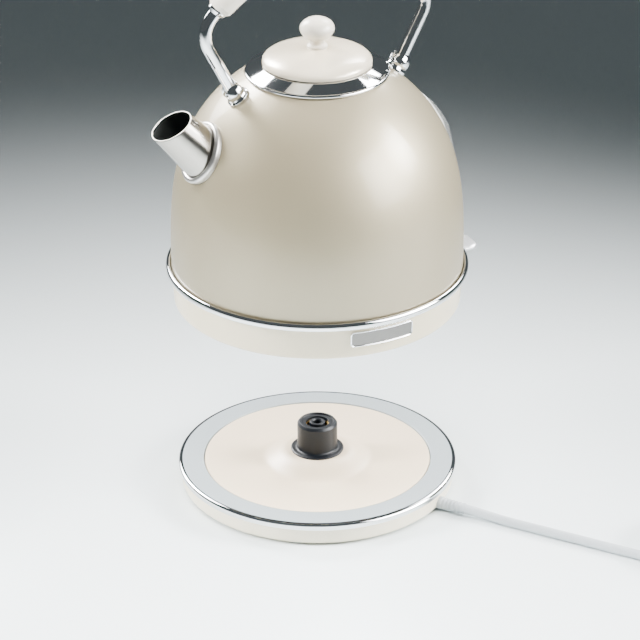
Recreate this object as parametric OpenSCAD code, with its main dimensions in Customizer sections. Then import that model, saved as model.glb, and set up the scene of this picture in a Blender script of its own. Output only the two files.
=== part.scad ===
// Cordless dome kettle held just above its round power base.
// Millimetres, +Z up, origin on the table at the base's centre.
// The spout points along -X, the switch lever along +X, and the badge faces -Y.

/* [Power base] */
// Outside diameter of the metal ring
base_d = 184; // [176:1:192]
// Height of the ring's top face above the table
base_h = 17; // [16:0.5:20]
// Diameter of the cream disc inside the ring
disc_d = 150; // [140:1:154]
// Diameter of the round connector post
post_d = 26.4; // [25:0.1:27]
// Height of the post above the ring's top face
post_h = 26; // [24:0.5:26]

/* [Kettle] */
// How far the kettle is lifted above its seated place
lift = 118; // [60:1:140]
// Outside diameter of the dome where it meets the chrome band
dome_d = 187.6; // [180:0.2:190]
// Height that the dome's curve would reach if it closed at the top
dome_h = 146.5; // [140:0.5:155]
// Thickness of the painted steel
steel = 1.2; // [0.8:0.1:1.6]
// Diameter of the hole that the collar closes
fill_d = 86; // [80:1:90]
// Height of the skirt below the chrome band
skirt_h = 22.6; // [20:0.1:26]
// Height of the heating plate above the skirt's lower edge
plate_z = 36; // [35:0.5:40]

/* [Spout] */
// Height of the spout's root above the skirt's lower edge
spout_z = 115; // [110:1:122]
// Slope of the spout above the horizontal
spout_slope = 47; // [38:0.5:50]
// Slope of the mouth's face above the horizontal
mouth_slope = 62; // [50:1:75]
// Length of the spout from the dome to the middle of its mouth
spout_len = 29.2; // [22:0.1:34]
// Diameter of the flange on the dome
flange_d = 40; // [38:0.5:42]

/* [Handle] */
// Diameter of the chrome rods
rod_d = 8; // [7:0.5:9]
// Outward lean of the rods from the vertical
rod_lean = 27.5; // [20:0.5:32]
// Diameter of the grip
grip_d = 20; // [18:0.5:22]
// Radius of the grip's arch at its middle line
arch_r = 95; // [90:1:100]
// Height of the arch's centre above the skirt's lower edge
arch_z = 140; // [136:1:144]

/* [Lid] */
// Diameter of the lid's edge
lid_d = 69; // [68:0.5:70]
// Height of the lid's crown above its edge
lid_crown = 9; // [6:0.5:11]

/* [Lead] */
// Diameter of the mains lead
lead_d = 6.2; // [6:0.1:6.5]
// Diameter of the coil at the middle of its turns
coil_d = 70; // [64:1:74]

/* [Hidden] */
$fn = 96;

CREAM = [0.90, 0.87, 0.80];
PEARL = [0.84, 0.81, 0.74];
CHROME = [0.86, 0.87, 0.89];
STEEL = [0.70, 0.71, 0.73];
BLACK = [0.10, 0.10, 0.11];
BRASS = [0.80, 0.65, 0.30];
RUBBER = [0.25, 0.25, 0.26];
WHITE = [0.90, 0.90, 0.89];
CLEAR = [0.85, 0.90, 0.92];

// Power base
seat_gap = 0.3;
deck_z = base_h - 4.5;
hub_z = base_h + 5.6;
hub_r = 36;
post_r = post_d/2;
flange_r = 17.4;
skirt_in = 2.5;
foot_h = 1.5;
foot_ring_r = 72;
screw_ring_r = 58;
cord_turn = -53.4;
cord_out_z = 4.6;

// Kettle
kettle_z = base_h + seat_gap + lift;
dome_z = skirt_h + 1.6;
dome_r = dome_d/2;
fill_r = fill_d/2;
skirt_r0 = dome_r - 1.6;
skirt_r1 = dome_r - 0.2;
skirt_wall = 2.4;
foot_round = 2.2;
socket_r = 18.8;
socket_bore = 13.9;
socket_z = 7.6;
socket_top = 32;
control_r = 34;
frame_screw_r = 83;
band_r = dome_r + 1.7;
window_w = 40;
window_low = 49;
window_high = 129;
window_rim = 1.5;
window_round = 16;
window_bulge = 5;

// Spout
root_turn = 62.5;
root_x = 80;
root_r = 15.8;
mouth_r = 13.4;
spout_wall = 0.9;
plug_depth = 3.6;

// Handle
bracket_x = 54;
bracket_z = 147.3;
bracket_turn = 38.7;
ball_r = 7;
ball_out = 6;
bend_r = 18;
lean = [sin(rod_lean), cos(rod_lean)];
inward = [-cos(rod_lean), sin(rod_lean)];
ball = [bracket_x + ball_out*sin(bracket_turn), bracket_z + ball_out*cos(bracket_turn)];
bend_from = ball - [0, arch_z] + bend_r*inward;
rod_len = -bend_from*lean
    + sqrt(pow(bend_from*lean, 2) - bend_from*bend_from + pow(arch_r - bend_r, 2));
bend_at = bend_from + rod_len*lean + [0, arch_z];
grip_half = atan2(bend_at[0], bend_at[1] - arch_z);

// Lid
lid_z = 161;
lid_r = lid_d/2;
throat_r = 33.4;

// Switch lever
lever_x = 86;
lever_z = 16;
lever_w = 24;
lever_out = 113;
pin_r = 1.5;

// Lead, in a frame turned to the cord's own line: out through the strain relief and
// along the table, a coil of one turn on another, and a tail that leaves the coil's
// upper turn, passes over the lead and lies down beside it
lead_r = lead_d/2;
tie_t = 0.8;
lead_route = [[90, 0, 4.6], [100, 0, 4.6], [108, 0, 4.6], [118, 0, 4.2], [130, 0, 3.5],
    [142, 0, 3.1], [156, 0, 3.1], [170, 0, 3.1], [184, 0, 3.1], [198, 0, 3.1],
    [212, 0, 3.1], [226, 0, 3.1], [240, 0, 3.2], [254, 0, 3.6], [268, 0, 3.9]];
coil_at = [268, 35];
tail_route = [[250, 65, 10.1], [236, 53, 10.1], [228, 35, 10.1], [232, 14, 10.1],
    [246, 0, 10.1], [257, -5, 10], [268, -7, 9], [282, -6.5, 6.5], [296, -3, 4.3],
    [308, 3, 3.3], [318, 12, 3.1], [325, 24, 3.1], [329, 38, 3.2], [331, 52, 4.2],
    [331, 66, 6.2], [330, 80, 8.2], [329, 90, 9]];
plug_at = [329, 112];

function dome_point(a, inset) =
    [(dome_r - inset)*pow(cos(a), 4/3), dome_z + (dome_h - inset)*pow(sin(a), 0.606)];
function dome_line(inset, last) = [for (i = [0:18]) dome_point(last*i/18, inset)];
function reversed(list) = [for (i = [len(list) - 1:-1:0]) list[i]];
function skirt_at(z) = skirt_r0 + (skirt_r1 - skirt_r0)*z/skirt_h;
function unit(v) = v/norm(v);
function ring_point(p, side, up, r, a) = p + r*cos(a)*side + r*sin(a)*up;
function tube_points(path, r, sides) = [for (i = [0:len(path) - 1])
    let (along = unit(path[min(i + 1, len(path) - 1)] - path[max(i - 1, 0)]),
        side = unit(cross([0, 0, 1], along)), up = cross(along, side))
    for (k = [0:sides - 1]) ring_point(path[i], side, up, r, 360*k/sides)];
function tube_faces(rings, sides) = concat(
    [[for (k = [sides - 1:-1:0]) k]],
    [for (i = [0:rings - 2]) for (k = [0:sides - 1]) let (n = (k + 1) % sides)
        [i*sides + k, i*sides + n, (i + 1)*sides + n, (i + 1)*sides + k]],
    [[for (k = [0:sides - 1]) (rings - 1)*sides + k]]);

fill_turn = acos(pow(fill_r/dome_r, 0.75));

module revolve(points) rotate_extrude() polygon(points);
module tube(path, r) polyhedron(tube_points(path, r, 10), tube_faces(len(path), 10));
module ring(outer, inner, low, high) {
    difference() {
        translate([0, 0, low]) cylinder(r = outer, h = high - low);
        translate([0, 0, low - 1]) cylinder(r = inner, h = high - low + 2);
    }
}
module round_plate(w, d, r) {
    square([w - 2*r, d], center = true);
    square([w, d - 2*r], center = true);
    for (x = [-1, 1], y = [-1, 1]) translate([x*(w/2 - r), y*(d/2 - r)]) circle(r);
}
module on_kettle() translate([0, 0, kettle_z]) children();
module on_lead() rotate([0, 0, cord_turn]) children();
module around(n, r, start = 0) {
    for (i = [0:n - 1]) rotate([0, 0, start + 360*i/n]) translate([r, 0, 0]) children();
}
// Faces a child's +Z along the dome's normal at the spout or at a handle bracket
module at_root() translate([-root_x, 0, spout_z]) rotate([0, -root_turn, 0]) children();
module at_bracket(side) {
    translate([side*bracket_x, 0, bracket_z]) rotate([0, side*bracket_turn, 0]) children();
}
module spout_cone(inset, low, high) {
    taper = (root_r - mouth_r)/spout_len;
    translate([-root_x, 0, spout_z]) rotate([0, spout_slope - 90, 0])
        translate([0, 0, low]) cylinder(r1 = root_r - inset - taper*low,
            r2 = root_r - inset - taper*high, h = high - low);
}
module window_bar(rim) translate([0, 0, (window_low + window_high)/2]) rotate([90, 0, 90])
    linear_extrude(dome_r + 10)
        round_plate(window_w - 2*rim, window_high - window_low - 2*rim, window_round - rim);
module dome_band(inset_out, rim) intersection() {
    revolve(concat(dome_line(inset_out, 60), reversed(dome_line(steel, 60))));
    window_bar(rim);
}

// Power base

module base_housing() color(CREAM) difference() {
    revolve([[86, foot_h + 0.5], [87, foot_h], [88.4, foot_h], [89.2, foot_h + 0.6],
        [89.6, foot_h + 2], [90.4, deck_z - 0.2], [90.4, deck_z + 0.2], [76, deck_z + 0.2],
        [76, deck_z], [flange_r, deck_z], [flange_r, deck_z - skirt_in],
        [87.4, deck_z - skirt_in], [86.6, foot_h + 2.2], [86, foot_h + 2.2]]);
    on_lead() translate([80, 0, cord_out_z]) rotate([0, 90, 0]) cylinder(r = 4.3, h = 20);
}

module base_ring() color(CHROME) {
    rotate_extrude() {
        difference() {
            union() {
                translate([disc_d/2, deck_z + 0.2]) square([base_d/2 - 2 - disc_d/2, 4.3]);
                translate([base_d/2 - 2, base_h - 2]) circle(2);
                translate([base_d/2 - 2, base_h - 4.6]) square([2, 2.6]);
            }
            translate([base_d/2 - 3, deck_z - 1]) square([1.6, 2.6]);
            translate([disc_d/2 + 2, deck_z - 1]) square([10, 2.6]);
        }
    }
}

module base_disc() color(CREAM) {
    r = disc_d/2 - 0.1;
    hub = [for (i = [0:8]) let (s = i/8)
        [hub_r - (hub_r - flange_r - 1)*s, base_h - 1 + (hub_z - base_h + 1)*(1 - cos(180*s))/2]];
    revolve(concat([[r, deck_z], [r, base_h - 0.6], [r - 0.6, base_h - 0.1],
        [r - 10, base_h - 0.4], [50, base_h - 0.9]], hub,
        [[post_r + 0.1, hub_z], [post_r + 0.1, hub_z - 2.4], [flange_r, hub_z - 2.4],
        [flange_r + 3, deck_z], [flange_r + 6, deck_z], [hub_r, base_h - 3.2],
        [r - 4, base_h - 3], [r - 3, deck_z]]));
}

module connector_post() color(BLACK) {
    top = base_h + post_h;
    difference() {
        revolve([[0, deck_z - 6], [flange_r + 3, deck_z - 6], [flange_r + 3, deck_z - 2.5],
            [flange_r - 0.2, deck_z - 2.5], [flange_r - 0.2, deck_z], [post_r, deck_z],
            [post_r, hub_z], [flange_r, hub_z], [flange_r, hub_z + 0.7],
            [flange_r - 0.6, hub_z + 1.2], [post_r + 0.8, hub_z + 1.2], [post_r, hub_z + 1.3],
            [post_r, top - 1.6], [post_r - 1.2, top], [post_r - 2.6, top],
            [post_r - 3, top - 0.8], [0, top - 0.8]]);
        translate([0, 0, top - 15]) cylinder(r = 2.8, h = 16);
        difference() {
            translate([0, 0, top - 10]) cylinder(r = 7.6, h = 11);
            translate([0, 0, top - 11]) cylinder(r = 5.2, h = 12);
        }
    }
}

module post_contacts() color(BRASS) translate([0, 0, base_h + post_h]) {
    ring(7.6, 7.1, -9.5, -3);
    translate([0, 0, -15]) cylinder(r = 2.8, h = 0.6);
}

module base_bottom() color(CREAM) difference() {
    ring(86, 6, foot_h, foot_h + 2);
    around(3, foot_ring_r) translate([0, 0, foot_h - 1]) cylinder(r = 6, h = 2);
    around(3, screw_ring_r, 60) translate([0, 0, foot_h - 1]) cylinder(r = 1.6, h = 5);
    on_lead() translate([82, 0, cord_out_z]) rotate([0, 90, 0]) cylinder(r = 4.3, h = 20);
    around(12, 30) translate([0, 0, foot_h - 1]) cylinder(r = 2.2, h = 4);
}

module base_feet() color(RUBBER)
    around(3, foot_ring_r) cylinder(r = 5.9, h = foot_h + 1);

module base_screws() color(STEEL) around(3, screw_ring_r, 60) {
    translate([0, 0, foot_h - 1]) cylinder(r = 3, h = 1);
    translate([0, 0, foot_h]) cylinder(r = 1.5, h = deck_z - skirt_in - foot_h);
}

module cord_clamp() color(BLACK) on_lead() difference() {
    translate([66, -9, foot_h + 2]) cube([10, 18, 5.8]);
    translate([60, 0, cord_out_z]) rotate([0, 90, 0]) cylinder(r = lead_r, h = 20);
}

module strain_relief() color(WHITE) on_lead() difference() {
    union() {
        translate([82, 0, cord_out_z]) rotate([0, 90, 0]) cylinder(r = 4.2, h = 8);
        translate([90, 0, cord_out_z]) rotate([0, 90, 0]) cylinder(r1 = 4.2, r2 = 3.6, h = 18);
    }
    translate([70, 0, cord_out_z]) rotate([0, 90, 0]) cylinder(r = lead_r, h = 50);
}

// Mains lead

module power_cord() color(WHITE) on_lead() tube(lead_route, lead_r);

module cord_coil() color(WHITE) on_lead() translate([coil_at[0], coil_at[1], tie_t])
    rotate_extrude() translate([coil_d/2, 0]) {
        translate([0, lead_r]) circle(lead_r);
        translate([0, 3*lead_r]) circle(lead_r);
        translate([-lead_r, lead_r]) square([lead_d, lead_d]);
    }

module cord_tail() color(WHITE) on_lead() tube(tail_route, lead_r);

module cord_tie() color(BLACK) on_lead() {
    w = lead_d + 0.4;
    h = 2*lead_d;
    translate([coil_at[0] + coil_d/2, coil_at[1], 0]) rotate([90, 0, 0])
        linear_extrude(4, center = true) difference() {
            translate([0, h/2 + tie_t]) round_plate(w + 2*tie_t, h + 2*tie_t, 3);
            translate([0, h/2 + tie_t]) round_plate(w, h, 2.6);
        }
}

module plug_body() color(WHITE) on_lead() translate([plug_at[0], plug_at[1], 0]) {
    difference() {
        union() {
            linear_extrude(16) round_plate(34, 38, 10);
            translate([0, 0, 16]) cylinder(r1 = 17, r2 = 18.4, h = 3);
            translate([0, 0, 19]) cylinder(r = 18.4, h = 10);
            translate([0, -16, 9]) rotate([90, 0, 0]) cylinder(r1 = 6.5, r2 = 4.4, h = 18);
        }
        translate([0, -15, 9]) rotate([90, 0, 0]) cylinder(r = lead_r, h = 30);
        for (x = [-1, 1]) translate([x*19.5, -4, 18]) cube([4, 8, 12]);
    }
}

module plug_pins() color(STEEL) on_lead() translate([plug_at[0], plug_at[1], 29])
    for (x = [-9.5, 9.5]) translate([x, 0, 0]) {
        cylinder(r = 2.4, h = 17.5);
        translate([0, 0, 17.5]) cylinder(r1 = 2.4, r2 = 1.4, h = 1.5);
    }

// Kettle: heating and connector

module kettle_socket() color(BLACK) on_kettle() difference() {
    translate([0, 0, socket_z]) cylinder(r = socket_r, h = socket_top - socket_z);
    translate([0, 0, socket_z - 1]) cylinder(r = socket_bore, h = 20.6);
    translate([0, 0, socket_z - 0.1]) cylinder(r1 = 15.6, r2 = socket_bore, h = 4);
}

module socket_contacts() color(BRASS) on_kettle() {
    translate([0, 0, 13]) cylinder(r = 2.1, h = 14.2);
    ring(6.7, 6.1, 19, 27.2);
}

module control_unit() color(BLACK) on_kettle() difference() {
    union() {
        translate([0, 0, 14]) cylinder(r = control_r, h = plate_z - 14);
        translate([20, -14, 14]) cube([44, 28, 12]);
    }
    translate([0, 0, 13]) cylinder(r = socket_r + 0.08, h = socket_top - 13 + seat_gap);
}

module heating_plate() color(STEEL) on_kettle()
    translate([0, 0, plate_z]) cylinder(r = 91.2, h = 1.6);

module heating_element() color(STEEL) on_kettle() {
    rotate_extrude() difference() {
        translate([70, plate_z - 3.3]) circle(3.5);
        translate([60, plate_z]) square([20, 2]);
    }
    for (a = [60, 100]) rotate([0, 0, a]) translate([70, 0, plate_z - 12])
        cylinder(r = 2, h = 8.8);
}

module plate_seal() color(RUBBER) on_kettle() ring(92.4, 91.2, plate_z - 1, plate_z + 2.6);

module inner_frame() color(BLACK) on_kettle() difference() {
    union() {
        rotate([0, 0, 30]) ring(89, 86.4, 3.2, plate_z);
        around(3, frame_screw_r, 60) translate([0, 0, 4]) cylinder(r = 5, h = plate_z - 8);
    }
    around(3, frame_screw_r, 60) translate([0, 0, 2]) cylinder(r = 1.6, h = 20);
    translate([74, -18, 2]) cube([20, 36, 25]);
}

module bottom_cover() color(BLACK) on_kettle() difference() {
    revolve([[89.6, 0.8], [89.6, 3.2], [78, 3.2], [72, 5.4], [42, 5.4], [38, 9.6],
        [24, 9.6], [24, 14], [socket_r + 0.6, 14], [socket_r + 0.6, 7.4], [36, 7.4],
        [41, 3.2], [71, 3.2], [77, 0.8]]);
    around(3, frame_screw_r, 60) translate([0, 0, -1]) cylinder(r = 1.6, h = 6);
    around(3, frame_screw_r, 60) translate([0, 0, -1]) cylinder(r = 3.2, h = 2.8);
}

module bottom_screws() color(STEEL) on_kettle() around(3, frame_screw_r, 60) {
    translate([0, 0, 0.9]) cylinder(r = 3.1, h = 0.9);
    translate([0, 0, 1.8]) cylinder(r = 1.5, h = 16);
}

module steam_tube() color(BLACK) on_kettle() rotate([0, 0, 45]) translate([70, 0, 0])
    ring(3.6, 2.6, plate_z + 1.6, 116);

// Kettle: body

module kettle_shell() color(PEARL) on_kettle() difference() {
    revolve(concat(dome_line(0, fill_turn), reversed(dome_line(steel, fill_turn))));
    at_root() translate([0, 0, -12]) cylinder(r = flange_d/2, h = 30);
    for (side = [-1, 1]) at_bracket(side) translate([0, 0, -6]) cylinder(r = 7.5, h = 12);
    window_bar(0);
}

module chrome_band() color(CHROME) on_kettle() rotate_extrude() {
    translate([band_r, dome_z + 0.3]) circle(1.7);
    translate([89, skirt_h]) square([band_r - 89, 1.5]);
}

module skirt() color(CREAM) on_kettle() difference() {
    foot = [for (i = [0:6]) let (a = -90 + 15*i)
        [skirt_at(foot_round) + foot_round*(cos(a) - 1), foot_round*(1 + sin(a))]];
    revolve(concat(foot, [[skirt_r1, skirt_h], [skirt_r1 - skirt_wall, skirt_h],
        [skirt_r0 - skirt_wall, foot_round + 1], [skirt_r0 - skirt_wall, 0]]));
    translate([80, -13, 11.6]) cube([20, 26, 7.6]);
}

module badge() color(CHROME) on_kettle() rotate([0, 0, -90 - 13.5])
    rotate_extrude(angle = 27) polygon([[skirt_at(8), 8], [skirt_at(8) + 1, 8],
        [skirt_at(8) + 1.5, 8.6], [skirt_at(18.6) + 1.5, 18], [skirt_at(18.6) + 1, 18.6],
        [skirt_at(18.6), 18.6]]);

module water_window() color(CLEAR) on_kettle() dome_band(-window_bulge, window_rim);

module window_gasket() color(RUBBER) on_kettle() difference() {
    dome_band(-0.8, 0);
    window_bar(window_rim);
}

module collar() color(CHROME) on_kettle() rotate_extrude() {
    translate([44.3, 155.75]) circle(1.2);
    polygon([[44.3, 155.3], [44.3, 156.9], [34.9, 161], [34, 160.8], [throat_r, 160.2],
        [throat_r, 148], [throat_r + 0.8, 148], [throat_r + 0.8, 159.8], [41, 156.8],
        [41, 150], [42, 150], [42, 155.3]]);
}

// Kettle: spout

module spout() color(STEEL) on_kettle() difference() {
    spout_cone(0, -8, spout_len + 12);
    spout_cone(spout_wall, -20, spout_len + 20);
    translate([-root_x - spout_len*cos(spout_slope), 0, spout_z + spout_len*sin(spout_slope)])
        rotate([0, mouth_slope - 90, 0]) translate([-40, -40, 0]) cube([80, 80, 40]);
    at_root() translate([-40, -40, -40]) translate([0, 0, 40 - plug_depth - 30])
        cube([80, 80, 30]);
}

module spout_flange() color(STEEL) on_kettle() difference() {
    at_root() {
        translate([0, 0, -plug_depth]) cylinder(r = flange_d/2, h = plug_depth + 0.6);
        translate([0, 0, 0.6]) rotate_extrude() intersection() {
            translate([flange_d/2 - 2, 0]) circle(2);
            square([flange_d/2, 3]);
        }
    }
    spout_cone(0, -20, spout_len);
}

module spout_filter() color(STEEL) on_kettle() at_root() translate([0, 0, -plug_depth - 1])
    difference() {
        cylinder(r = 17.5, h = 1);
        for (i = [-3:3], j = [-3:3]) if (norm([i, j]) < 3.2)
            translate([4*i, 4*j, -1]) cylinder(r = 1.2, h = 3);
    }

// Kettle: handle

module bracket(side) at_bracket(side) {
    translate([0, 0, -3]) cylinder(r = 7.5, h = 4.6);
    translate([0, 0, 1.6]) cylinder(r1 = 7.5, r2 = 5.8, h = 2.4);
    translate([0, 0, -10]) cylinder(r = 2.5, h = 7);
    difference() {
        translate([0, 0, ball_out]) sphere(ball_r);
        translate([0, 0, -8]) cylinder(r = 20, h = 9);
    }
}
module front_bracket() color(CHROME) on_kettle() difference() {
    bracket(-1);
    mirror([1, 0, 0]) rod_root();
}
module rear_bracket() color(CHROME) on_kettle() difference() {
    bracket(1);
    rod_root();
}
module bracket_nuts() color(STEEL) on_kettle() for (side = [-1, 1]) at_bracket(side)
    difference() {
        translate([0, 0, -7]) cylinder(r = 4.6, h = 4, $fn = 6);
        translate([0, 0, -8]) cylinder(r = 2.5, h = 6);
    }
module rod_root() translate([ball[0], 0, ball[1]]) rotate([0, rod_lean, 0])
    cylinder(r = rod_d/2, h = rod_len);
module rod() {
    rod_root();
    translate([bend_at[0], 0, bend_at[1]]) rotate([90, 0, 0]) rotate([0, 0, -rod_lean]) {
        rotate_extrude(angle = 90 - grip_half + rod_lean)
            translate([bend_r, 0]) circle(rod_d/2);
        for (a = [0, 90 - grip_half + rod_lean]) rotate([0, 0, a]) translate([bend_r, 0, 0])
            rotate([90, 0, 0]) cylinder(r = rod_d/2 + 0.1, h = 1, center = true);
    }
    translate([0, 0, arch_z]) rotate([90, 0, 0]) rotate([0, 0, 90 - grip_half])
        rotate_extrude(angle = 10) translate([arch_r, 0]) circle(rod_d/2);
}
module rear_rod() color(CHROME) on_kettle() rod();
module front_rod() color(CHROME) on_kettle() mirror([1, 0, 0]) rod();
module handle_grip() color(CREAM) on_kettle() translate([0, 0, arch_z]) rotate([90, 0, 0])
    rotate([0, 0, 93 - grip_half]) rotate_extrude(angle = 2*grip_half - 6)
        translate([arch_r, 0]) difference() {
            circle(grip_d/2);
            circle(rod_d/2);
        }

// Kettle: switch

module lever_housing() color(BLACK) on_kettle() difference() {
    translate([78, -17, 3.2]) cube([10.4, 34, 19.2]);
    translate([76, -12.6, 8]) cube([20, 25.2, 12.8]);
    translate([lever_x, -20, lever_z]) rotate([-90, 0, 0]) cylinder(r = pin_r, h = 40);
}

module lever_pin() color(STEEL) on_kettle() translate([lever_x, -16, lever_z])
    rotate([-90, 0, 0]) cylinder(r = pin_r, h = 32);

module switch_lever() color(CHROME) on_kettle() difference() {
    union() {
        translate([lever_x, -lever_w/2, lever_z]) rotate([-90, 0, 0])
            cylinder(r = 3.6, h = lever_w);
        translate([(lever_x + lever_out)/2, 0, lever_z - 1.7]) linear_extrude(3.4)
            round_plate(lever_out - lever_x, lever_w, 7);
        translate([lever_x, -lever_w/2, lever_z - 1.7]) cube([12, lever_w, 3.4]);
    }
    translate([lever_x, -20, lever_z]) rotate([-90, 0, 0]) cylinder(r = pin_r + 0.08, h = 40);
}

// Lid

module lid_cover() color(CREAM) on_kettle() {
    crown = [for (i = [0:10]) let (a = 9*i)
        [lid_r*cos(a), lid_z + seat_gap + 1.4 + lid_crown*sin(a)]];
    hollow = [for (i = [10:-1:1]) let (a = 9*i)
        [(lid_r - 2)*cos(a), lid_z + seat_gap + (lid_crown - 0.8)*sin(a)]];
    difference() {
        revolve(concat([[lid_r, lid_z + seat_gap]], crown, hollow,
            [[lid_r - 2, lid_z + seat_gap]]));
        translate([0, 0, lid_z]) cylinder(r = 2.1, h = 20);
    }
}

module lid_plug() color(STEEL) on_kettle() difference() {
    revolve([[0, lid_z + 0.7], [32.3, lid_z + 0.7], [32.3, 150], [31.5, 150],
        [31.5, lid_z - 0.4], [0, lid_z - 0.4]]);
    translate([0, 0, lid_z - 4]) cylinder(r = 2.1, h = 6);
}

module lid_seal() color(RUBBER) on_kettle() ring(33.1, 32.3, 154, 157);

module lid_knob() color(CREAM) on_kettle() {
    z = lid_z + seat_gap + 1.4 + lid_crown;
    difference() {
        union() {
            translate([0, 0, z]) cylinder(r = 6.5, h = 1.6);
            translate([0, 0, z]) cylinder(r = 4.4, h = 9);
            translate([0, 0, z + 12.5]) intersection() {
                sphere(11);
                translate([0, 0, -5.5]) cylinder(r = 12, h = 12.5);
            }
        }
        translate([0, 0, z - 1]) cylinder(r = 2, h = 13);
    }
}

module knob_screw() color(STEEL) on_kettle() {
    translate([0, 0, lid_z - 2.2]) cylinder(r = 3.6, h = 1.8);
    translate([0, 0, lid_z - 0.4]) cylinder(r = 2, h = 22);
}

base_housing();
base_ring();
base_disc();
connector_post();
post_contacts();
base_bottom();
base_feet();
base_screws();
cord_clamp();
strain_relief();
power_cord();
cord_coil();
cord_tail();
cord_tie();
plug_body();
plug_pins();
kettle_socket();
socket_contacts();
kettle_shell();
chrome_band();
skirt();
inner_frame();
bottom_cover();
bottom_screws();
control_unit();
heating_plate();
heating_element();
plate_seal();
steam_tube();
spout();
spout_flange();
spout_filter();
water_window();
window_gasket();
collar();
front_bracket();
rear_bracket();
bracket_nuts();
front_rod();
rear_rod();
handle_grip();
badge();
lever_housing();
lever_pin();
switch_lever();
lid_cover();
lid_plug();
lid_seal();
lid_knob();
knob_screw();
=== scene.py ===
"""Electric kettle lifted off its power base: the looks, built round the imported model.

Lengths here are millimetres, and place() turns them into the frame's metres. Heights on
the kettle are measured from the lower edge of its skirt.
"""

import math

import bmesh
import bpy
from mathutils import Matrix, Vector


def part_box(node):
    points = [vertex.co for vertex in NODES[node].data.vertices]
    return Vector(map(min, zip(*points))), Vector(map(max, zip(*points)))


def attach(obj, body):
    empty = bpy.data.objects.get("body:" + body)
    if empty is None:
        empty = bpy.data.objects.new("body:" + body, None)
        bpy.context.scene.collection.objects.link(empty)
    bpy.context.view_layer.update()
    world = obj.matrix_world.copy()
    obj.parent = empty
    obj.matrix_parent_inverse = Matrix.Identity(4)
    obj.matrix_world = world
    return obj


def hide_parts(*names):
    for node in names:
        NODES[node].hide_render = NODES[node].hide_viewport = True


MM = 0.001
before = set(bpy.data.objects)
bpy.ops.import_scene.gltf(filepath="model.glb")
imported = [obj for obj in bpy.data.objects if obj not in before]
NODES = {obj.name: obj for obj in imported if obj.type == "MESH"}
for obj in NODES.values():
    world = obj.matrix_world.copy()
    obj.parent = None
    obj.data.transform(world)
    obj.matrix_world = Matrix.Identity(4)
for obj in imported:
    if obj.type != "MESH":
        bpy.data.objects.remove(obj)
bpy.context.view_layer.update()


def size_of(node):
    """Lowest and highest corner of a CAD node, in millimetres."""
    low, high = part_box(node)
    return low / MM, high / MM


def cosd(a):
    return math.cos(math.radians(a))


def sind(a):
    return math.sin(math.radians(a))


# Sizes ------------------------------------------------------------------------------
# Power base
BASE_R = size_of("base_ring")[1].x
BASE_H = size_of("base_ring")[1].z
DISC_R = size_of("base_disc")[1].x
HUB_Z = size_of("base_disc")[1].z
DECK_Z = size_of("base_disc")[0].z
POST_TOP = size_of("connector_post")[1].z
POST_R = 13.2
POST_FLANGE_R = 17.4
HUB_R = 36.0
ROLL_R = 2.0
FOOT_H = size_of("base_bottom")[0].z

# Kettle
KETTLE_Z = size_of("skirt")[0].z
DOME_R = size_of("kettle_shell")[1].x
DOME_Z = size_of("kettle_shell")[0].z - KETTLE_Z
DOME_H = 146.5
DOME_POWER = 0.606
STEEL = 1.2
FILL_R = 43.0
BAND_R = DOME_R + 1.7
SKIRT_H = 22.6
SKIRT_WALL = 2.4
SKIRT_LOW_R = DOME_R - 1.6
SKIRT_TOP_R = DOME_R - 0.2
THROAT_R = 33.4
FILL_TURN = math.degrees(math.acos((FILL_R / DOME_R) ** 0.75))

# Spout and its flange; slopes are degrees above level
ROOT = Vector((-80.0, 0.0, 115.0))
ROOT_SLOPE = 27.5
ROOT_R = 15.8
SPOUT_SLOPE = 47.0
SPOUT_LEN = 29.2
MOUTH_SLOPE = 62.0
MOUTH_R = 13.4
SPOUT_WALL = 0.9
FLANGE_R = 20.0

# Handle
BRACKET = (54.0, 147.3)
BRACKET_TURN = 38.7
BALL_R = 7.0
BALL_OUT = 6.0
ROD_R = 4.0
ROD_LEAN = 27.5
BEND_R = 18.0
ARCH_R = 95.0
ARCH_Z = 140.0
GRIP_R = 10.0
GRIP_DEPTH = 8.8
GRIP_END = (6.4, 6.2)

# Window: half width, half height, corner radius of its opening, and its middle's height
WINDOW = (20.0, 40.0, 16.0)
WINDOW_Z = 89.0

# Lid
LID_R = 34.5
LID_Z = 161.3
LID_CROWN = 9.0
LID_BRIM = 1.4

# Lever
LEVER_X = 86.0
LEVER_Z = 16.0
LEVER_OUT = size_of("switch_lever")[1].x
LEVER_W = 24.0
LEVER_BORE_R = 1.58
BARREL_R = 3.6
BARREL_HALF = 12.0

# Lead
LEAD_D = 6.2
CORD_TURN = -53.4
CORD_OUT_Z = 4.6
RELIEF = (82.0, 108.0)
RELIEF_R = 4.2
COIL_R = 35.0
COIL_AT = Vector((268.0, 35.0))
PLUG_AT = (329.0, 112.0)

WORLD = Matrix.Identity(4)
ON_KETTLE = Matrix.Translation((0, 0, KETTLE_Z))
ON_LEAD = Matrix.Rotation(math.radians(CORD_TURN), 4, "Z")


def facing(place, tilt):
    """A frame at place whose +Z leans tilt degrees from upright towards +X."""
    return ON_KETTLE @ Matrix.Translation(place) @ Matrix.Rotation(math.radians(tilt), 4, "Y")


AT_ROOT = facing(ROOT, ROOT_SLOPE - 90)


def at_bracket(side):
    return facing((side * BRACKET[0], 0, BRACKET[1]), side * BRACKET_TURN)


# Camera and lead --------------------------------------------------------------------
VIEW_AZIMUTH = -26.0
VIEW_ELEVATION = 26.5
VIEW_DISTANCE = 2025.0
VIEW_TARGET = Vector((1.6, -0.8, 117.0))
VIEW_LENS = 175.6

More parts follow.
